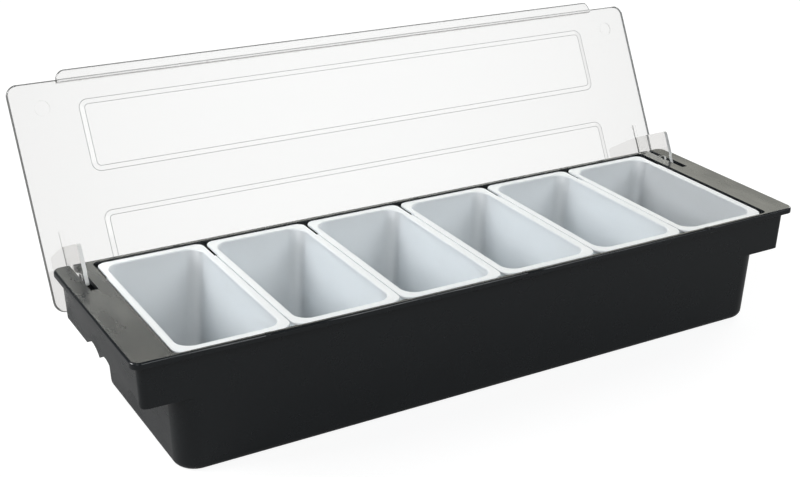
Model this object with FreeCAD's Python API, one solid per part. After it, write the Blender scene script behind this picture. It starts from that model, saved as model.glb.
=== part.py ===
import FreeCAD, Part
import math
import os

# Bar condiment holder: a moulded tray, six lift-out inserts and a clear hinged lid.
# Lengths are millimetres and angles are degrees.
# X runs along the tray, +Y points to the hinge side and +Z points up.
# The origin is the middle of the tray's underside. The lid stands open.

# Tray
tray_length = 500.0
tray_depth = 152.0
tray_height = 85.0
wall = 2.4
draft_angle = 1.75
deck_thickness = 3.2
rim_height = 4.2
rim_corner = 6.0
rim_edge = 1.5
rim_foot = 0.4
front_overhang = 4.9
rear_overhang = 2.6
end_overhang = 4.2
front_bow = 2.2
body_inset = 24.1
body_corner = 15.0
body_foot = 5.6

# Grips at the two ends
grip_depth = 33.0
grip_corner = 4.7
scallop_pitch = 24.0
scallop_rise = 5.3
scallop_count = 4
scallop_bite = 0.3

# Ledge that carries the inserts
front_rim_width = 2.6
rear_rim_width = 4.0
end_rim_width = 25.0
ledge_drop = 2.4
ledge_thickness = 1.8
ledge_corner = 4.0
front_ledge_width = 5.1
rear_ledge_width = 2.6
end_ledge_width = 3.5
mouth_corner = 11.0

# Pips moulded on the narrow rims
pip_length = 4.0
pip_width = 1.4
pip_height = 0.4
pip_edge_gap = 0.2
pip_root = 0.5
front_pip_places = (-168.0, 12.0, 167.0)
rear_pip_places = (-167.0, 17.0)

# Inserts
insert_count = 6
insert_gap = 0.6
insert_end_gap = 1.5
insert_front_gap = 0.7
insert_rear_gap = 0.5
insert_flange = 1.4
insert_front_corner = 9.0
insert_rear_corner = 6.0
insert_side_rim = 5.2
insert_end_rim = 6.1
insert_wall = 1.5
insert_floor_gap = 5.6
insert_draft = 5.0
insert_corner = 10.0
insert_foot = 7.0
insert_edge_round = 0.6
insert_lip_round = 1.2
flange_step = 0.9
flange_step_reach = 24.0

# Lid
lid_depth = 150.8
lid_end_overhang = 0.3
lid_thickness = 3.0
lid_corner = 7.5
lid_edge_round = 0.6
lid_open_angle = 117.3
lid_overhang = 2.6
tongue_reach = 5.5
tongue_overlap = 2.5
tongue_thickness = 3.0
tongue_end_inset = 33.3
tongue_corner = 6.0
panel_depth = 0.8
panel_slope = 3.4
panel_corner = 6.0
panel_inner_corner = 3.0
panel_end_inset = 45.0
panel_height = 48.8
rear_panel_inset = 11.5
front_panel_inset = 15.0
mark_radius = 5.1
mark_depth = 0.3
mark_end_inset = 20.7
mark_edge_inset = 17.5

# Hinge plates under the lid, and the slots in the tray that they turn in
hinge_inset = 10.75
hinge_drop = 12.1
sweep_clearance = 0.35
plate_end_inset = 14.2
plate_thickness = 2.6
plate_drop = 38.5
plate_front = 41.8
plate_rear = 20.5
plate_taper = 2.4
plate_heel = 26.6
plate_corner = 2.5
foot_end = 12.5
foot_width = 6.2
foot_step = 0.8
foot_round = 1.5
rib_length = 10.0
rib_height = 0.8
slot_side_clearance = 1.2
slot_front_clearance = 2.2
slot_drop = 10.0

taper = math.tan(math.radians(draft_angle))
grip_base = tray_height - grip_depth
ledge_level = tray_height - ledge_drop

# The lid is drawn shut and then turned open about the hinge axis.
hinge_y = tray_depth / 2 - hinge_inset
hinge_z = tray_height - hinge_drop

# Height of the shut lid's underside, just enough for it to turn past the rim's rear edge
lid_lift = (math.hypot(hinge_inset - rim_edge, hinge_drop - rim_edge)
            + rim_edge + sweep_clearance - hinge_drop)
lid_under = tray_height + lid_lift
lid_rear = tray_depth / 2 + lid_overhang
lid_half = tray_length / 2 + lid_end_overhang
plate_x = lid_half - plate_end_inset

# The inserts stand in one row in the recess. Its front edge bows with the rim.
recess_front = -tray_depth / 2 + front_rim_width
recess_rear = tray_depth / 2 - rear_rim_width
recess_half = tray_length / 2 - end_rim_width
insert_pitch = (2 * recess_half - 2 * insert_end_gap + insert_gap) / insert_count


def vec(x, y, z):
    return FreeCAD.Vector(x, y, z)


def box(x0, x1, y0, y1, z0, z1):
    return Part.makeBox(x1 - x0, y1 - y0, z1 - z0, vec(x0, y0, z0))


def end_x(z):
    """Half length of the grips' outer walls at a height."""
    return tray_length / 2 - end_overhang - (tray_height - z) * taper


def body_x(z):
    """Half length of the tray's main body at a height."""
    return tray_length / 2 - body_inset - (tray_height - z) * taper


def front_y(z):
    """Front wall at the tray's ends, at a height."""
    return -tray_depth / 2 + front_overhang + (tray_height - z) * taper


def rear_y(z):
    return tray_depth / 2 - rear_overhang - (tray_height - z) * taper


def bow_at(z):
    """The front wall is straight at its foot and bows outward towards the rim."""
    return front_bow * z / tray_height


def bow_shift(x, bow):
    """How far an edge with this bow stands out at a place along the tray."""
    if bow < 0.01:
        return 0.0
    half = tray_length / 2
    radius = (half * half + bow * bow) / (2 * bow)
    return math.sqrt(radius * radius - x * x) - (radius - bow)


def plan(half_x, front, rear, bow, z):
    """Outline with three straight sides and a bowed front."""
    corner = front - bow_shift(half_x, bow)
    a = vec(-half_x, corner, z)
    b = vec(half_x, corner, z)
    c = vec(half_x, rear, z)
    d = vec(-half_x, rear, z)
    if bow < 0.01:
        first = Part.makeLine(a, b)
    else:
        first = Part.Arc(a, vec(0, front - bow, z), b).toShape()
    return Part.Wire([first, Part.makeLine(b, c), Part.makeLine(c, d), Part.makeLine(d, a)])


def tapered(half_fn, inset, z0, z1):
    """Block that follows the drafted walls, set in from them by an inset."""
    wires = []
    for z in (z0, z1):
        wires.append(plan(half_fn(z) - inset, front_y(z) + inset, rear_y(z) - inset, bow_at(z), z))
    return Part.makeLoft(wires, True, True)


def bowed_prism(half_x, front, rear, z0, z1):
    """Upright block with the rim's bowed front."""
    outline = plan(half_x, front, rear, front_bow, z0)
    return Part.Face(outline).extrude(vec(0, 0, z1 - z0))


def upright(shape):
    """Edges that climb from one level to another."""
    return [e for e in shape.Edges if abs(e.Vertexes[0].Z - e.Vertexes[-1].Z) > 0.2]


def at_level(shape, z):
    return [e for e in shape.Edges if all(abs(v.Z - z) < 1e-4 for v in e.Vertexes)]


def rounded(shape, radius, edges):
    return shape.makeFillet(radius, edges)


def tray_body():
    """Drafted pan with rounded upright corners and a rounded foot."""
    pan = tapered(body_x, 0, 0, grip_base)
    pan = rounded(pan, body_corner, upright(pan))
    return rounded(pan, body_foot, at_level(pan, 0))


def tray_hood():
    """Upper part that runs the full length and forms the two grips."""
    hood = tapered(end_x, 0, grip_base, tray_height)
    return rounded(hood, grip_corner, upright(hood))


def tray_rim():
    half = tray_length / 2
    base = tray_height - rim_height
    rim = bowed_prism(half, -tray_depth / 2, tray_depth / 2, base, tray_height)
    rim = rounded(rim, rim_corner, upright(rim))
    rim = rounded(rim, rim_edge, at_level(rim, tray_height))
    return rounded(rim, rim_foot, at_level(rim, base))


def tray_cavity():
    """Space inside the pan, up to the ledge."""
    pan = tapered(body_x, wall, wall, ledge_level - ledge_thickness)
    pan = rounded(pan, body_corner - wall, upright(pan))
    return rounded(pan, body_foot - wall, at_level(pan, wall))


def tray_mouth():
    """Recess that the flanges lie in, and the opening inside its ledge."""
    recess = bowed_prism(recess_half, recess_front, recess_rear, ledge_level, tray_height + 1)
    recess = rounded(recess, ledge_corner, upright(recess))
    low = ledge_level - ledge_thickness - 1
    mouth = bowed_prism(recess_half - end_ledge_width, recess_front + front_ledge_width,
                        recess_rear - rear_ledge_width, low, tray_height)
    mouth = rounded(mouth, mouth_corner, upright(mouth))
    return recess.fuse(mouth)


def grip_hollows():
    """Finger space behind each end wall, open below."""
    low = grip_base - 4
    high = tray_height - deck_thickness
    inner = tapered(end_x, wall, low, high)
    inner = rounded(inner, grip_corner - wall, upright(inner))
    wires = []
    for z in (low - 1, high + 1):
        half = body_x(z)
        wires.append(Part.makePolygon([vec(-half, -tray_depth, z), vec(half, -tray_depth, z),
                                       vec(half, tray_depth, z), vec(-half, tray_depth, z),
                                       vec(-half, -tray_depth, z)]))
    return inner.cut(Part.makeLoft(wires, True, True))


def scallops():
    """Finger scallops along the lower edge of each grip, counted back from the front wall."""
    half = scallop_pitch / 2
    radius = (half * half + scallop_rise * scallop_rise) / (2 * scallop_rise)
    inner = end_x(grip_base) - wall - scallop_bite
    reach = tray_length / 2 - inner + 1
    start = front_y(grip_base) + grip_corner / 2
    cutters = []
    for i in range(scallop_count):
        y = start + scallop_pitch * (i + 0.5)
        z = grip_base + scallop_rise - radius
        cutters.append(Part.makeCylinder(radius, reach, vec(inner, y, z), vec(1, 0, 0)))
        cutters.append(Part.makeCylinder(radius, reach, vec(-inner, y, z), vec(-1, 0, 0)))
    return cutters


def slot_front():
    """Front end of the hinge slots, clear of the plates' swept corner."""
    far_u = plate_front - plate_taper - (lid_rear - hinge_y)
    far_w = plate_drop - (lid_under - hinge_z)
    swing = math.hypot(far_u, far_w)
    return hinge_y - math.sqrt(swing * swing - hinge_drop * hinge_drop) - slot_front_clearance


def hinge_slots():
    half = plate_thickness / 2 + slot_side_clearance
    low = tray_height - slot_drop
    slots = []
    for side in (-1, 1):
        x = side * plate_x
        slots.append(box(x - half, x + half, slot_front(), tray_depth, low, tray_height + 1))
    return slots


def pip(x, y):
    """Small oval pip, longer along the rim."""
    run = (pip_length - pip_width) / 2
    r = pip_width / 2
    low = tray_height - pip_root
    high = pip_height + pip_root
    shape = box(x - run, x + run, y - r, y + r, low, low + high)
    for end in (-run, run):
        shape = shape.fuse(Part.makeCylinder(r, high, vec(x + end, y, low)))
    return shape.removeSplitter()


def rim_pips():
    pips = []
    inward = pip_edge_gap + pip_width / 2
    for x in front_pip_places:
        y = recess_front - bow_shift(x, front_bow) - inward
        pips.append(pip(x, y))
    for x in rear_pip_places:
        pips.append(pip(x, recess_rear + inward))
    return pips


def tray():
    solid = tray_body().fuse([tray_hood(), tray_rim()])
    solid = solid.cut([tray_cavity(), tray_mouth(), grip_hollows()])
    solid = solid.cut(scallops() + hinge_slots())
    return solid.fuse(rim_pips()).removeSplitter()


def rectangle(half_x, half_y, z):
    return Part.makePolygon([vec(-half_x, -half_y, z), vec(half_x, -half_y, z),
                             vec(half_x, half_y, z), vec(-half_x, half_y, z),
                             vec(-half_x, -half_y, z)])


def cup_block(half_x, half_y, top, bottom):
    """Drafted block that is widest at the top."""
    lean = (top - bottom) * math.tan(math.radians(insert_draft))
    return Part.makeLoft([rectangle(half_x - lean, half_y - lean, bottom),
                          rectangle(half_x, half_y, top)], True, True)


def insert_span():
    """Front and rear edges of the inserts, clear of the recess at its bowed front's ends."""
    front = recess_front - bow_shift(recess_half, front_bow) + insert_front_gap
    return front, recess_rear - insert_rear_gap


def insert_flange_plate(half_x, half_y, z):
    """Flange that is a little narrower along its rear part."""
    top = z + insert_flange
    plate = box(-half_x, half_x, -half_y, half_y, z, top)
    cut = half_y - flange_step_reach
    for side in (-1, 1):
        outer = side * (half_x + 1)
        inner = side * (half_x - flange_step)
        plate = plate.cut(box(min(outer, inner), max(outer, inner), cut, half_y + 1, z - 1, top + 1))
    fronts = [e for e in upright(plate) if e.Vertexes[0].Y < -half_y + 0.01]
    plate = rounded(plate, insert_front_corner, fronts)
    rears = [e for e in upright(plate) if e.Vertexes[0].Y > half_y - 0.01]
    return rounded(plate, insert_rear_corner, rears)


def insert():
    """One insert, drawn round its own middle, with its flange on the ledge."""
    front, rear = insert_span()
    half_x = insert_pitch / 2 - insert_gap / 2
    half_y = (rear - front) / 2
    top = ledge_level + insert_flange
    bottom = wall + insert_floor_gap
    mouth_x = half_x - insert_side_rim
    mouth_y = half_y - insert_end_rim
    outer = cup_block(mouth_x + insert_wall, mouth_y + insert_wall, top, bottom)
    outer = rounded(outer, insert_corner + insert_wall, upright(outer))
    outer = rounded(outer, insert_foot, at_level(outer, bottom))
    inner = cup_block(mouth_x, mouth_y, top, bottom + insert_wall)
    inner = rounded(inner, insert_corner, upright(inner))
    inner = rounded(inner, insert_foot - insert_wall, at_level(inner, bottom + insert_wall))
    flange = insert_flange_plate(half_x, half_y, ledge_level)
    shell = flange.fuse(outer).cut(inner).removeSplitter()
    lip = [e for e in at_level(shell, top) if e.BoundBox.XLength < 2 * mouth_x + 0.1
           and abs(e.CenterOfMass.x) < mouth_x + 0.1 and abs(e.CenterOfMass.y) < mouth_y + 0.1]
    shell = rounded(shell, insert_lip_round, lip)
    edge = [e for e in at_level(shell, top) if abs(e.CenterOfMass.x) > half_x - insert_side_rim / 2
            or abs(e.CenterOfMass.y) > half_y - insert_end_rim / 2]
    return rounded(shell, insert_edge_round, edge)


def place_inserts():
    """Inserts side by side in one straight row."""
    pattern = insert()
    front, rear = insert_span()
    placed = []
    for i in range(insert_count):
        x = (i - (insert_count - 1) / 2) * insert_pitch
        copy = pattern.copy()
        copy.translate(vec(x, (front + rear) / 2, 0))
        placed.append(copy)
    return placed


def lid_y(u):
    """Place of a point at a distance u forward from the shut lid's rear edge."""
    return lid_rear - u


def lid_sheet():
    sheet = box(-lid_half, lid_half, lid_y(lid_depth), lid_rear, lid_under, lid_under + lid_thickness)
    sheet = rounded(sheet, lid_corner, upright(sheet))
    outer = at_level(sheet, lid_under) + at_level(sheet, lid_under + lid_thickness)
    return rounded(sheet, lid_edge_round, outer)


def lid_tongue():
    """Finger lip that is set one sheet lower than the lid and overlaps its front edge."""
    half = lid_half - tongue_end_inset
    front = lid_y(lid_depth + tongue_reach)
    rear = lid_y(lid_depth - tongue_overlap)
    tongue = box(-half, half, front, rear, lid_under - tongue_thickness, lid_under)
    corners = [e for e in upright(tongue) if abs(e.Vertexes[0].Y - front) < 1e-4]
    tongue = rounded(tongue, tongue_corner, corners)
    low = at_level(tongue, lid_under - tongue_thickness)
    return rounded(tongue, lid_edge_round, low)


def rounded_outline(half_x, half_y, radius, z):
    """Rectangle with rounded corners."""
    parts = []
    for sx, sy, turn in ((1, 1, 0), (-1, 1, 90), (-1, -1, 180), (1, -1, 270)):
        centre = vec(sx * (half_x - radius), sy * (half_y - radius), z)
        start, end = math.radians(turn), math.radians(turn + 90)
        points = [centre + vec(radius * math.cos(a), radius * math.sin(a), 0)
                  for a in (start, (start + end) / 2, end)]
        parts.append(points)
    edges = []
    for i, points in enumerate(parts):
        edges.append(Part.Arc(*points).toShape())
        edges.append(Part.makeLine(points[2], parts[(i + 1) % 4][0]))
    return Part.Wire(edges)


def lid_panels():
    """Two shallow panels with sloping sides, sunk in the lid's top face."""
    half = lid_half - panel_end_inset
    top = lid_under + lid_thickness
    ranges = []
    ranges.append((rear_panel_inset, rear_panel_inset + panel_height))
    ranges.append((lid_depth - front_panel_inset - panel_height, lid_depth - front_panel_inset))
    cutters = []
    for near, far in ranges:
        middle = lid_y((near + far) / 2)
        half_y = (far - near) / 2
        lower = rounded_outline(half - panel_slope, half_y - panel_slope, panel_inner_corner,
                                top - panel_depth)
        upper = rounded_outline(half, half_y, panel_corner, top)
        block = Part.makeLoft([lower, upper], True, True)
        block.translate(vec(0, middle, 0))
        cutters.append(block)
    return cutters


def lid_marks():
    """Round shallow marks in the lid's underside, near its two front corners."""
    marks = []
    x = lid_half - mark_end_inset
    y = lid_y(lid_depth - mark_edge_inset)
    for side in (-1, 1):
        marks.append(Part.makeCylinder(mark_radius, mark_depth, vec(side * x, y, lid_under)))
    return marks


def hinge_plate(x):
    """Flat plate under the lid with a hooked foot that reaches back towards the rear edge."""
    far = plate_drop
    inner = far - foot_step - foot_width
    slope = (plate_heel - plate_rear) / inner
    points = [(plate_front, 0), (plate_front - plate_taper, far), (plate_rear, far),
              (plate_rear, far - foot_step), (foot_end, far - foot_step), (foot_end, inner),
              (plate_rear, inner), (plate_heel - slope * inner / 3, inner / 3), (plate_heel, 0)]
    half = plate_thickness / 2
    outline = [vec(x - half, lid_y(u), lid_under - w) for u, w in points]
    face = Part.Face(Part.makePolygon(outline + [outline[0]]))
    plate = face.extrude(vec(plate_thickness, 0, 0))

    def corner(u, w):
        place = vec(x, lid_y(u), lid_under - w)
        return [e for e in plate.Edges
                if e.CenterOfMass.distanceToPoint(place) < 1e-3]

    plate = plate.makeFillet(plate_corner, corner(plate_front - plate_taper, far))
    ends = corner(foot_end, far - foot_step) + corner(foot_end, inner)
    plate = plate.makeFillet(foot_round, ends)
    rib = box(x - half, x + half, lid_y(plate_front + rib_length), lid_y(plate_front - 1),
              lid_under - rib_height, lid_under)
    return plate.fuse(rib)


def lid():
    """The lid, drawn shut and then turned open about the hinge axis."""
    solid = lid_sheet().cut(lid_panels() + lid_marks())
    pieces = [lid_tongue(), hinge_plate(-plate_x), hinge_plate(plate_x)]
    solid = solid.fuse(pieces).removeSplitter()
    solid.rotate(vec(0, hinge_y, hinge_z), vec(1, 0, 0), -lid_open_angle)
    return solid


def save(shape, name):
    if shape.ShapeType != "Solid" and len(shape.Solids) == 1:
        shape = shape.Solids[0]
    shape.exportStep("parts/" + name + ".step")
    print(name, "solids", len(shape.Solids), "volume", round(shape.Volume / 1000, 2), "valid", shape.isValid())


def main():
    os.makedirs("parts", exist_ok=True)
    save(tray(), "tray")
    for number, piece in enumerate(place_inserts(), 1):
        save(piece, "insert_%d" % number)
    save(lid(), "lid")


main()
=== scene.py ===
"""Looks of a bar condiment holder: a black moulded tray, white inserts and a clear hinged lid."""

import math

import bmesh
import bpy
from bpy.props import FloatProperty, FloatVectorProperty, PointerProperty
from mathutils import Matrix, Vector


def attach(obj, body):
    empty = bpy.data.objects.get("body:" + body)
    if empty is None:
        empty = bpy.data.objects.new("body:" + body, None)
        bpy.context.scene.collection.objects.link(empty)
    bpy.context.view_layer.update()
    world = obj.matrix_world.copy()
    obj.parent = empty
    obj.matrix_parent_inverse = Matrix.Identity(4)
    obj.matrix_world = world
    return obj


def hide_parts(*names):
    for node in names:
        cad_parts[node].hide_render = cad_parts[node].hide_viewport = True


bl_info = {
    "name": "Bar condiment holder",
    "version": (1, 0, 0),
    "blender": (4, 5, 0),
    "location": "View3D > Sidebar > Condiment holder",
    "description": "Finishes the tray, inserts and lid of a condiment holder and sets its stage",
    "category": "Object",
}

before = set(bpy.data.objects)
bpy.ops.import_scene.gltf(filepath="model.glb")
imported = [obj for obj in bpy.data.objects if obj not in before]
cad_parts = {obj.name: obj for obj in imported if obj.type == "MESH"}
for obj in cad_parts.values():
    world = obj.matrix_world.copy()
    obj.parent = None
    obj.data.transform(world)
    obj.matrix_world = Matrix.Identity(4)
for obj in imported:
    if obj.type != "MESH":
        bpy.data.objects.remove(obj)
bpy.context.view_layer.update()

INSERT_NODES = sorted(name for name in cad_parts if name.startswith("insert"))

# Two faces that turn by more than this meet in a sharp edge.
CREASE = math.radians(28)
# Facets that turn by less than this become one face.
FLAT = math.radians(0.3)
# Corners nearer than this become one, in metres.
MERGE = 2e-6
# How much the large faces count in the shading, where 50 treats all alike.
LARGE_FACES = 80

# Places of the clear sheet, the grey edges of painted shade and the pale edges of painted highlight
# in the lid's list of materials.
CLEAR, PAINTED_SHADE, PAINTED_HIGHLIGHT = range(3)
# Least part of the sheet's own normal in a face that lies flat on the sheet or in its panels.
LEVEL = 0.9995
# Least and most of it in the panels' sloping sides.
SLOPES = (0.95, 0.99)
# Least of it in the sheet's underside, which is the largest such face.
UNDERSIDE = 0.99
# Least part of a normal along the sheet that makes its face an edge of the sheet.
EDGE_ON = 0.25
# A hinge plate's faces whose normals have less than this part sideways are its edges.
PLATE_SIDE = 0.5
# How far below the sheet's underside the finger lip and the hinge plates begin, in metres.
LIP_DEPTH = 0.0005
PLATE_DEPTH = 0.0015
# Least and most roughness of the lid's dull edges.
EDGE_ROUGHNESS = (0.2, 0.4)

# Faint blue of the room's light.
ROOM_TINT = (0.93, 0.975, 1.0, 1.0)
# Where the soft glow in front lies, seen from the object, and how near to it the glow starts.
GLOW_DIRECTION = (0.42, -0.74, 0.52)
GLOW_START = 0.93
# Heights between which the room seen through the lid goes from white to the ceiling.
CEILING_START = 0.15
CEILING_END = 0.45
# The point that all lamps are turned towards, inside the tray.
LIT_POINT = Vector((0.0, 0.0, 0.06))
# Width of the camera's sensor, in millimetres.
SENSOR_WIDTH = 36.0

# What the properties of one kind have in common.
SHARE = {"subtype": "FACTOR", "min": 0.0, "max": 1.0}
COLOUR = {"subtype": "COLOR", "size": 3, "min": 0.0, "max": 1.0}
DISTANCE = {"subtype": "DISTANCE", "unit": "LENGTH"}
FINE = {**DISTANCE, "min": 0.0, "max": 0.002}
ANGLE = {"subtype": "ANGLE", "unit": "ROTATION"}
POWER = {"subtype": "POWER", "unit": "POWER", "min": 0.0, "max": 500.0}


class TraySettings(bpy.types.PropertyGroup):
    """Black moulded plastic of the tray."""

    colour: FloatVectorProperty(name="Colour", description="Colour of the black plastic",
                                default=(0.0113, 0.0136, 0.0155), **COLOUR)
    roughness: FloatProperty(name="Roughness", description="Roughness of the moulded skin",
                             default=0.24, **SHARE)
    cloud: FloatProperty(name="Cloudiness", description="How much the roughness drifts in streaks",
                         default=0.35, **SHARE)
    specular: FloatProperty(name="Specular", default=0.5,
                            description="Strength of the reflection seen straight on", **SHARE)
    grain: FloatProperty(name="Grain depth", description="Depth of the moulded skin's fine grain",
                         default=0.00001, min=0.0, max=0.001, **DISTANCE)
    edge: FloatProperty(name="Edge rounding", description="Radius on the tray's sharp edges",
                        default=0.00025, **FINE)


class InsertSettings(bpy.types.PropertyGroup):
    """White plastic of the inserts."""

    colour: FloatVectorProperty(name="Colour", description="Colour of the white plastic",
                                default=(0.937, 0.957, 0.97), **COLOUR)
    roughness: FloatProperty(name="Roughness", description="Roughness of the white plastic",
                             default=0.3, **SHARE)
    grain: FloatProperty(name="Grain depth", description="Depth of the plastic's faint unevenness",
                         default=0.00002, min=0.0, max=0.001, **DISTANCE)
    through: FloatProperty(name="Translucence", default=0.6,
                           description="Share of the light that passes the thin side walls",
                           **SHARE)
    edge: FloatProperty(name="Edge rounding", description="Radius on the inserts' sharp edges",
                        default=0.00025, **FINE)


class LidSettings(bpy.types.PropertyGroup):
    """Clear plastic of the lid."""

    colour: FloatVectorProperty(name="Tint", description="Faint tint of the clear plastic",
                                default=(0.86, 0.853, 0.842), **COLOUR)
    roughness: FloatProperty(name="Roughness", description="Roughness of the clear plastic",
                             default=0.015, **SHARE)
    waves: FloatProperty(name="Waves", description="Depth of the sheet's faint waves",
                         default=0.0001, min=0.0, max=0.001, **DISTANCE)
    clouding: FloatProperty(name="Clouding", default=150.0, min=0.0, max=2000.0,
                            description="Light that the plastic takes up along a metre")
    cloud_colour: FloatVectorProperty(name="Clouding colour", default=(0.9, 0.9, 0.9),
                                      description="Colour of what passes the clouding", **COLOUR)
    ior: FloatProperty(name="IOR", description="Index of refraction of the clear plastic",
                       default=1.49, min=1.0, max=2.0)
    edge: FloatProperty(name="Edge rounding", description="Radius on the lid's sharp edges",
                        default=0.0003, **FINE)
    # Grey painted shade on the sheet's dull edges, where clear plastic shows dark outlines.
    painted_edge_shade: FloatVectorProperty(name="Edge colour", default=(0.16, 0.16, 0.155),
                                     description="Grey painted shade on the sheet's dull edges", **COLOUR)
    edge_clear: FloatProperty(name="Edge clearness", default=0.3,
                              description="Share of the light that passes the edges", **SHARE)
    # The lines round the panels and round the sheet are bands of painted grey shade.
    panel_line: FloatProperty(name="Panel lines", default=0.00017,
                              description="Half the width of the lines round the panels", **FINE)
    outline: FloatProperty(name="Outline", default=0.00025,
                           description="Half the width of the line round the sheet", **FINE)
    lean: FloatProperty(name="Lean", description="How far the open lid leans back from upright",
                        default=math.radians(27.3), **ANGLE)
    # Pale grey painted highlight on the hinge plates' edges.
    painted_plate_highlight: FloatVectorProperty(name="Plate edge colour", default=(0.85, 0.85, 0.83),
                                      description="Pale grey painted highlight on the hinge plates' edges", **COLOUR)
    plate_place: FloatProperty(name="Hinge plates", default=0.225,
                               description="Least distance of the hinge plates from the middle",
                               **DISTANCE)
    lip_place: FloatProperty(name="Lip end", default=0.216,
                             description="Distance of the finger lip's ends from the middle",
                             **DISTANCE)
    lip_reach: FloatProperty(name="Lip reach", default=0.0055,
                             description="How far the finger lip stands past the sheet", **DISTANCE)
    rim: FloatProperty(name="Rim", description="Width of the rim that holds the sheet's outline",
                       default=0.003, **DISTANCE)


class StageSettings(bpy.types.PropertyGroup):
    """Floor, lamps and surroundings."""

    floor_colour: FloatVectorProperty(name="Floor", description="Colour of the floor",
                                      default=(0.22, 0.22, 0.22), **COLOUR)
    floor_roughness: FloatProperty(name="Floor roughness", description="Roughness of the floor",
                                   default=0.7, **SHARE)
    floor_specular: FloatProperty(name="Floor specular", default=0.2,
                                  description="Strength of the floor's reflection", **SHARE)
    floor_size: FloatProperty(name="Floor size", description="Side of the square floor",
                              default=24.0, min=1.0, max=60.0, **DISTANCE)
    floor_glow: FloatProperty(name="Floor white", default=0.88,
                              description="Share of plain white in what is seen of the floor",
                              **SHARE)
    floor_mirrored: FloatProperty(name="Floor white in reflections", default=0.14,
                                  description="Share of that white that smooth plastic mirrors",
                                  **SHARE)
    sky: FloatProperty(name="Surroundings", default=0.12, min=0.0, max=3.0,
                       description="Brightness of the pale room round the object")
    glow: FloatProperty(name="Front glow", default=4.6, min=0.0, max=9.0,
                        description="Brightness of the glow in front, which the lid mirrors")
    ceiling: FloatProperty(name="Ceiling", default=0.8, min=0.0, max=1.0,
                           description="Brightness of the ceiling seen through the lid")
    left: FloatProperty(name="Left lamp", default=37.0,
                        description="Power of the soft lamp on the left, the main one", **POWER)
    right: FloatProperty(name="Right lamp", default=9.0,
                         description="Power of the low soft lamp on the right", **POWER)
    front: FloatProperty(name="Front lamp", default=5.0,
                         description="Power of the soft lamp in front on the left", **POWER)
    behind: FloatProperty(name="Rear lamp", default=13.5,
                          description="Power of the wide lamp behind, which the deck mirrors",
                          **POWER)
    behind_colour: FloatVectorProperty(name="Rear lamp colour", default=(1.0, 0.99, 0.88),
                                       description="Faintly warm colour of that lamp", **COLOUR)


class CameraSettings(bpy.types.PropertyGroup):
    """Camera at the photograph's viewing angle."""

    place: FloatVectorProperty(name="Place", description="Where the camera stands", size=3,
                               default=(-0.45317, -0.7385, 0.44543), subtype="TRANSLATION",
                               unit="LENGTH")
    heading: FloatProperty(name="Heading", default=math.radians(32.13),
                           description="Turn of the view to the right of straight ahead", **ANGLE)
    dip: FloatProperty(name="Dip", default=math.radians(24.17),
                       description="Angle of the view below level", **ANGLE)
    roll: FloatProperty(name="Roll", default=math.radians(1.24),
                        description="Turn of the camera about its own line of sight", **ANGLE)
    lens: FloatProperty(name="Focal length", default=61.69, min=1.0, max=500.0,
                        description="Focal length for a 36 mm wide sensor, in millimetres")
    shift_x: FloatProperty(name="Shift across", description="Shift of the frame to the side",
                           default=-0.0749)
    shift_y: FloatProperty(name="Shift up", description="Shift of the frame upwards",
                           default=0.0441)


def link(thing):
    """Puts a new object in the scene."""
    bpy.context.scene.collection.objects.link(thing)
    return thing


def smoothed_copy(node, name, edge_radius):
    """A copy of a CAD piece with its facets joined, its curves smooth and its sharp edges eased."""
    mesh = bpy.data.meshes.new(name)
    work = bmesh.new()
    work.from_mesh(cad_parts[node].data)
    bmesh.ops.remove_doubles(work, verts=work.verts, dist=MERGE)
    bmesh.ops.dissolve_limit(work, angle_limit=FLAT, verts=work.verts, edges=work.edges)
    for face in work.faces:
        face.smooth = True
    for edge in work.edges:
        edge.smooth = edge.calc_face_angle(0.0) < CREASE
    work.to_mesh(mesh)
    work.free()
    piece = link(bpy.data.objects.new(name, mesh))
    ease = piece.modifiers.new("eased edges", "BEVEL")
    ease.width = edge_radius
    ease.segments = 2
    ease.limit_method = "ANGLE"
    ease.angle_limit = CREASE
    shading = piece.modifiers.new("even shading", "WEIGHTED_NORMAL")
    shading.keep_sharp = True
    shading.weight = LARGE_FACES
    return piece


def settle(piece, body, node, slot, *materials):
    """Gives a piece its materials and puts it on its body in place of its CAD solid."""
    for material in materials:
        piece.data.materials.append(material)
    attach(piece, body)
    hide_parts(node)


def new_material(name):
    """A material with one Principled shader, its node tree and that shader."""
    material = bpy.data.materials.new(name)
    material.use_nodes = True
    tree = material.node_tree
    return material, tree, tree.nodes["Principled BSDF"]


def object_noise(tree, scale, detail=3.0, stretch=None):
    """Noise on the object's own coordinates, squeezed by the stretch along each axis."""
    place = tree.nodes.new("ShaderNodeTexCoord").outputs["Object"]
    if stretch:
        squeeze = tree.nodes.new("ShaderNodeMapping")
        squeeze.inputs["Scale"].default_value = stretch
        tree.links.new(place, squeeze.inputs["Vector"])
        place = squeeze.outputs["Vector"]
    noise = tree.nodes.new("ShaderNodeTexNoise")
    noise.inputs["Scale"].default_value = scale
    noise.inputs["Detail"].default_value = detail
    tree.links.new(place, noise.inputs["Vector"])
    return noise.outputs["Fac"]


def ranged(tree, value, low, high, start=0.0, end=1.0):
    """A value that goes from low to high as the given one goes from start to end."""
    spread = tree.nodes.new("ShaderNodeMapRange")
    spread.inputs["From Min"].default_value = start
    spread.inputs["From Max"].default_value = end
    spread.inputs["To Min"].default_value = low
    spread.inputs["To Max"].default_value = high
    tree.links.new(value, spread.inputs["Value"])
    return spread.outputs["Result"]


def feed(tree, value, socket):
    """Gives a socket a plain number, or a link where the value is another socket."""
    if isinstance(value, float):
        socket.default_value = value
    else:
        tree.links.new(value, socket)


def combined(tree, operation, first, second):
    """One value made of two by a sum, a product or another operation."""
    node = tree.nodes.new("ShaderNodeMath")
    node.operation = operation
    feed(tree, first, node.inputs[0])
    feed(tree, second, node.inputs[1])
    return node.outputs["Value"]


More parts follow.
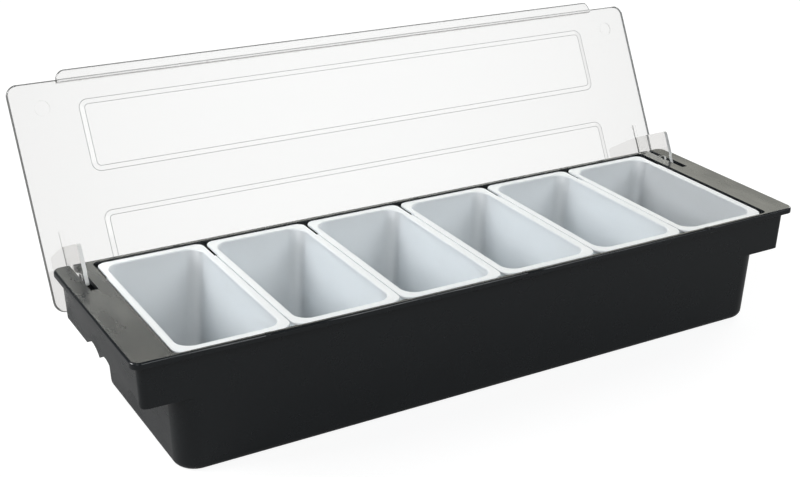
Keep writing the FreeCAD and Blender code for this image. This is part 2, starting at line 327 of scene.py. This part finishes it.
def chosen(tree, switch, off, on):
    """The first value where the switch is 0 and the second where it is 1."""
    mix = tree.nodes.new("ShaderNodeMix")
    feed(tree, off, mix.inputs["A"])
    feed(tree, on, mix.inputs["B"])
    tree.links.new(switch, mix.inputs["Factor"])
    return mix.outputs["Result"]


def surface_of_two(tree, switch, off, on):
    """Makes the surface of a material from one shader, and from the other where the switch is 1."""
    mix = tree.nodes.new("ShaderNodeMixShader")
    tree.links.new(switch, mix.inputs["Fac"])
    tree.links.new(off, mix.inputs[1])
    tree.links.new(on, mix.inputs[2])
    tree.links.new(mix.outputs["Shader"], tree.nodes["Material Output"].inputs["Surface"])


def bump(tree, shader, height, distance, strength=1.0):
    """Raises and lowers the surface by a height, in the shading alone."""
    relief = tree.nodes.new("ShaderNodeBump")
    relief.inputs["Strength"].default_value = strength
    relief.inputs["Distance"].default_value = distance
    tree.links.new(height, relief.inputs["Height"])
    tree.links.new(relief.outputs["Normal"], shader.inputs["Normal"])


def varied_colour(tree, shader, colour, share, scale):
    """A colour that gets darker and lighter by a share of itself over the surface."""
    mix = tree.nodes.new("ShaderNodeMix")
    mix.data_type = "RGBA"
    mix.inputs["A"].default_value = (*[part * (1 - share) for part in colour], 1.0)
    mix.inputs["B"].default_value = (*[min(1.0, part * (1 + share)) for part in colour], 1.0)
    tree.links.new(object_noise(tree, scale), mix.inputs["Factor"])
    tree.links.new(mix.outputs["Result"], shader.inputs["Base Color"])


def varied_roughness(tree, shader, noise, roughness, share, start=0.0, end=1.0):
    """A roughness that drifts by a share of itself as the noise goes from start to end."""
    low = roughness * (1 - share)
    high = roughness * (1 + share)
    tree.links.new(ranged(tree, noise, low, high, start, end), shader.inputs["Roughness"])


def black_plastic(settings):
    """Satin black plastic with cloudy streaks and a fine even grain."""
    material, tree, shader = new_material("black plastic")
    varied_colour(tree, shader, settings.colour, share=0.12, scale=14.0)
    shader.inputs["Specular IOR Level"].default_value = settings.specular
    streaks = object_noise(tree, scale=22.0, detail=4.0, stretch=(3.0, 1.0, 3.0))
    varied_roughness(tree, shader, streaks, settings.roughness, settings.cloud, start=0.3, end=0.7)
    bump(tree, shader, object_noise(tree, scale=1400.0, detail=2.0), settings.grain)
    return material


def white_plastic(settings):
    """White plastic that lets light through the thin walls facing along the tray."""
    material, tree, shader = new_material("white plastic")
    varied_colour(tree, shader, settings.colour, share=0.012, scale=20.0)
    varied_roughness(tree, shader, object_noise(tree, scale=60.0), settings.roughness, share=0.15)
    bump(tree, shader, object_noise(tree, scale=320.0, detail=2.0), settings.grain)
    passed = tree.nodes.new("ShaderNodeBsdfTranslucent")
    passed.inputs["Color"].default_value = (*settings.colour, 1.0)
    facing = tree.nodes.new("ShaderNodeSeparateXYZ")
    geometry = tree.nodes.new("ShaderNodeNewGeometry")
    tree.links.new(geometry.outputs["Normal"], facing.inputs["Vector"])
    sideways = combined(tree, "ABSOLUTE", facing.outputs["X"], 0.0)
    thin = ranged(tree, sideways, 0.0, settings.through, start=0.75, end=0.98)
    surface_of_two(tree, thin, shader.outputs["BSDF"], passed.outputs["BSDF"])
    return material


def clear_plastic(settings):
    """Clear plastic sheet, faintly uneven as moulded."""
    material, tree, shader = new_material("clear plastic")
    shader.inputs["Base Color"].default_value = (*settings.colour, 1.0)
    shader.inputs["Transmission Weight"].default_value = 1.0
    shader.inputs["IOR"].default_value = settings.ior
    varied_roughness(tree, shader, object_noise(tree, scale=25.0), settings.roughness, share=0.4)
    waves = object_noise(tree, scale=9.0, detail=1.0)
    bump(tree, shader, waves, settings.waves, strength=0.5)
    haze = tree.nodes.new("ShaderNodeVolumeAbsorption")
    haze.inputs["Color"].default_value = (*settings.cloud_colour, 1.0)
    haze.inputs["Density"].default_value = settings.clouding
    tree.links.new(haze.outputs["Volume"], tree.nodes["Material Output"].inputs["Volume"])
    return material


def edge_plastic(settings, name, colour):
    """Partly clear plastic with a dull, rough edge, whose given colour is painted: grey for shade,
    pale for a highlight.
    """
    material, tree, shader = new_material(name)
    shader.inputs["Base Color"].default_value = (*colour, 1.0)
    shader.inputs["Transmission Weight"].default_value = settings.edge_clear
    shader.inputs["IOR"].default_value = settings.ior
    dullness = ranged(tree, object_noise(tree, scale=200.0), *EDGE_ROUGHNESS)
    tree.links.new(dullness, shader.inputs["Roughness"])
    return material


def lid_borders(work, settings, square, up_the_lid):
    """Edges along the panels' slopes, and along the outline of the sheet and of its lip."""
    end = max(abs(corner.co.x) for corner in work.verts)
    front = max(corner.co.dot(up_the_lid) for corner in work.verts)
    panels = []
    outline = []
    for edge in work.edges:
        turned = sorted(abs(face.normal.dot(square)) for face in edge.link_faces)
        if len(turned) != 2 or not turned[1] > LEVEL > turned[0]:
            continue
        middle = (edge.verts[0].co + edge.verts[1].co) / 2
        aside = abs(middle.x)
        back = front - middle.dot(up_the_lid)
        by_the_lip = (aside > settings.lip_place - settings.rim
                      and back < settings.lip_reach + settings.rim)
        if SLOPES[0] < turned[0] < SLOPES[1]:
            panels.append(edge)
        elif aside > end - settings.rim or back < settings.rim or by_the_lip:
            outline.append(edge)
    return panels, outline


def cut_painted_shade_bands(work, borders, half_width):
    """Cuts narrow grey bands of painted shade along the borders."""
    bands = bmesh.ops.bevel(work, geom=borders, offset=half_width, offset_type="OFFSET",
                            affect="EDGES", segments=2, profile=0.5, material=-1,
                            clamp_overlap=False)
    # The bands take the grey material of painted shade.
    for face in bands["faces"]:
        face.material_index = PAINTED_SHADE


def paint_edge_shade_and_highlight(piece, settings):
    """Paints grey shade on the lid's edges and its panels' borders, and a pale highlight on the
    hinge plates' edges.
    """
    square = Vector((0.0, -math.cos(settings.lean), math.sin(settings.lean)))
    up_the_lid = Vector((0.0, math.sin(settings.lean), math.cos(settings.lean)))
    work = bmesh.new()
    work.from_mesh(piece.data)
    panels, outline = lid_borders(work, settings, square, up_the_lid)
    cut_painted_shade_bands(work, panels, settings.panel_line)
    cut_painted_shade_bands(work, outline, settings.outline)
    bmesh.ops.dissolve_degenerate(work, dist=MERGE, edges=work.edges)
    level = [face for face in work.faces if face.normal.dot(square) > UNDERSIDE]
    underside = max(level, key=lambda face: face.calc_area()).calc_center_median().dot(square)
    front = max(corner.co.dot(up_the_lid) for corner in work.verts)
    for face in work.faces:
        middle = face.calc_center_median()
        aside = abs(middle.x)
        back = front - middle.dot(up_the_lid)
        depth = middle.dot(square) - underside
        sideways = abs(face.normal.x)
        if depth > LIP_DEPTH:
            clear = aside > settings.plate_place or back > settings.lip_reach / 2
        else:
            clear = aside < settings.lip_place and back < settings.lip_reach + settings.rim
        # The hinge plates' edges get the pale painted highlight, and the sheet's edges the grey
        # painted shade.
        if depth > PLATE_DEPTH and aside > settings.plate_place and sideways < PLATE_SIDE:
            face.material_index = PAINTED_HIGHLIGHT
        elif clear:
            face.material_index = CLEAR
        elif max(abs(face.normal.dot(up_the_lid)), sideways) > EDGE_ON:
            face.material_index = PAINTED_SHADE
    work.to_mesh(piece.data)
    work.free()


class HOLDER_OT_tray(bpy.types.Operator):
    """Finish the moulded tray in black plastic"""

    bl_idname = "holder.tray"
    bl_label = "Finish tray"

    def execute(self, context):
        settings = context.scene.holder_tray
        piece = smoothed_copy("tray", "tray_moulding", settings.edge)
        settle(piece, "base", "tray", "tray_black", black_plastic(settings))
        return {"FINISHED"}


class HOLDER_OT_inserts(bpy.types.Operator):
    """Finish the inserts in white plastic"""

    bl_idname = "holder.inserts"
    bl_label = "Finish inserts"

    def execute(self, context):
        settings = context.scene.holder_insert
        material = white_plastic(settings)
        for node in INSERT_NODES:
            piece = smoothed_copy(node, node + "_cup", settings.edge)
            settle(piece, "base", node, "insert_white", material)
        return {"FINISHED"}


class HOLDER_OT_lid(bpy.types.Operator):
    """Finish the hinged lid in clear plastic"""

    bl_idname = "holder.lid"
    bl_label = "Finish lid"

    def execute(self, context):
        settings = context.scene.holder_lid
        piece = smoothed_copy("lid", "lid_sheet", settings.edge)
        # The grey edges carry painted shade and the pale plate edges a painted highlight.
        settle(piece, "lid", "lid", "lid_clear",
               clear_plastic(settings),
               edge_plastic(settings, "grey plastic edge with painted shade", settings.painted_edge_shade),
               edge_plastic(settings, "pale plastic edge with painted highlight", settings.painted_plate_highlight))
        paint_edge_shade_and_highlight(piece, settings)
        # The clear sheet lets the lamps' light through.
        piece.visible_shadow = False
        return {"FINISHED"}


def floor_material(settings):
    """Pale floor that shows white and keeps the object's shadow."""
    material, tree, shader = new_material("pale floor")
    shader.inputs["Base Color"].default_value = (*settings.floor_colour, 1.0)
    shader.inputs["Roughness"].default_value = settings.floor_roughness
    shader.inputs["Specular IOR Level"].default_value = settings.floor_specular
    path = tree.nodes.new("ShaderNodeLightPath")
    mirrored = combined(tree, "MULTIPLY", path.outputs["Is Glossy Ray"], settings.floor_mirrored)
    seen = combined(tree, "ADD", path.outputs["Is Camera Ray"], mirrored)
    glow = tree.nodes.new("ShaderNodeEmission")
    tree.links.new(combined(tree, "MULTIPLY", seen, settings.floor_glow), glow.inputs["Strength"])
    lit = tree.nodes.new("ShaderNodeAddShader")
    tree.links.new(shader.outputs["BSDF"], lit.inputs[0])
    tree.links.new(glow.outputs["Emission"], lit.inputs[1])
    # Through the lid the floor shows as plain white.
    white = tree.nodes.new("ShaderNodeEmission")
    surface_of_two(tree, path.outputs["Is Transmission Ray"], lit.outputs["Shader"],
                   white.outputs["Emission"])
    return material


def pale_world(settings):
    """A dim room with a soft glow in front, white to the camera and bright through the lid."""
    world = bpy.data.worlds.new("pale room")
    bpy.context.scene.world = world
    world.use_nodes = True
    tree = world.node_tree
    room = tree.nodes["Background"]
    room.inputs["Color"].default_value = ROOM_TINT
    direction = tree.nodes.new("ShaderNodeTexCoord").outputs["Generated"]
    facing = tree.nodes.new("ShaderNodeVectorMath")
    facing.operation = "DOT_PRODUCT"
    facing.inputs[1].default_value = GLOW_DIRECTION
    tree.links.new(direction, facing.inputs[0])
    glow = ranged(tree, facing.outputs["Value"], 0.0, settings.glow, start=GLOW_START)
    lit = combined(tree, "ADD", glow, settings.sky)
    height = tree.nodes.new("ShaderNodeSeparateXYZ")
    tree.links.new(direction, height.inputs["Vector"])
    ceiling = ranged(tree, height.outputs["Z"], 1.0, settings.ceiling, CEILING_START, CEILING_END)
    path = tree.nodes.new("ShaderNodeLightPath")
    mixed = chosen(tree, path.outputs["Is Transmission Ray"], lit, ceiling)
    level = chosen(tree, path.outputs["Is Camera Ray"], mixed, 1.0)
    tree.links.new(level, room.inputs["Strength"])


def area_lamp(name, power, size, place):
    """A soft rectangular lamp turned towards the holder, and not seen by the camera."""
    data = bpy.data.lights.new(name, "AREA")
    data.shape = "RECTANGLE"
    data.size, data.size_y = size
    data.energy = power
    lamp = link(bpy.data.objects.new(name, data))
    lamp.location = place
    away = lamp.location - LIT_POINT
    lamp.rotation_euler = away.to_track_quat("Z", "Y").to_euler()
    lamp.visible_camera = False
    return lamp


class HOLDER_OT_stage(bpy.types.Operator):
    """Lay the pale floor and set the soft lamps"""

    bl_idname = "holder.stage"
    bl_label = "Set stage"

    def execute(self, context):
        settings = context.scene.holder_stage
        mesh = bpy.data.meshes.new("floor")
        work = bmesh.new()
        bmesh.ops.create_grid(work, x_segments=1, y_segments=1, size=settings.floor_size / 2)
        work.to_mesh(mesh)
        work.free()
        floor = link(bpy.data.objects.new("floor", mesh))
        floor.data.materials.append(floor_material(settings))
        pale_world(settings)
        area_lamp("left lamp", settings.left, size=(1.2, 1.0), place=(-1.76, 0.68, 1.19))
        area_lamp("right lamp", settings.right, size=(1.0, 0.8), place=(1.97, 0.64, 0.81))
        area_lamp("front lamp", settings.front, size=(1.0, 0.8), place=(-1.19, -1.19, 1.47))
        rear = area_lamp("rear lamp", settings.behind, size=(2.9, 1.0), place=(1.3, 1.82, 1.05))
        rear.data.color = settings.behind_colour
        return {"FINISHED"}


class HOLDER_OT_camera(bpy.types.Operator):
    """Stand the camera where the photograph was taken from"""

    bl_idname = "holder.camera"
    bl_label = "Place camera"

    def execute(self, context):
        settings = context.scene.holder_camera
        data = bpy.data.cameras.new("camera")
        data.sensor_width = SENSOR_WIDTH
        data.lens = settings.lens
        data.shift_x = settings.shift_x
        data.shift_y = settings.shift_y
        camera = link(bpy.data.objects.new("camera", data))
        turn = Matrix.Rotation(-settings.heading, 4, "Z")
        tilt = Matrix.Rotation(math.pi / 2 - settings.dip, 4, "X")
        roll = Matrix.Rotation(settings.roll, 4, "Z")
        camera.matrix_world = Matrix.Translation(settings.place) @ turn @ tilt @ roll
        context.scene.camera = camera
        context.scene.view_settings.view_transform = "Standard"
        return {"FINISHED"}


class HOLDER_PT_pieces(bpy.types.Panel):
    """Lists the steps that finish the holder, and their settings"""

    bl_label = "Condiment holder"
    bl_idname = "HOLDER_PT_pieces"
    bl_space_type = "VIEW_3D"
    bl_region_type = "UI"
    bl_category = "Condiment holder"

    def draw(self, context):
        for step in STEPS:
            self.layout.operator(step.bl_idname)
        for name in SETTINGS:
            group = getattr(context.scene, name)
            box = self.layout.box()
            for key in group.__annotations__:
                box.prop(group, key)


STEPS = (HOLDER_OT_camera, HOLDER_OT_tray, HOLDER_OT_inserts, HOLDER_OT_lid, HOLDER_OT_stage)
SETTINGS = {
    "holder_tray": TraySettings,
    "holder_insert": InsertSettings,
    "holder_lid": LidSettings,
    "holder_stage": StageSettings,
    "holder_camera": CameraSettings,
}


def register():
    for name, group in SETTINGS.items():
        bpy.utils.register_class(group)
        setattr(bpy.types.Scene, name, PointerProperty(type=group))
    for step in STEPS:
        bpy.utils.register_class(step)
    bpy.utils.register_class(HOLDER_PT_pieces)


def unregister():
    bpy.utils.unregister_class(HOLDER_PT_pieces)
    for step in reversed(STEPS):
        bpy.utils.unregister_class(step)
    for name, group in SETTINGS.items():
        delattr(bpy.types.Scene, name)
        bpy.utils.unregister_class(group)


def main():
    register()
    bpy.ops.holder.camera()
    bpy.ops.holder.tray()
    bpy.ops.holder.inserts()
    bpy.ops.holder.lid()
    bpy.ops.holder.stage()


if __name__ == "__main__":
    main()
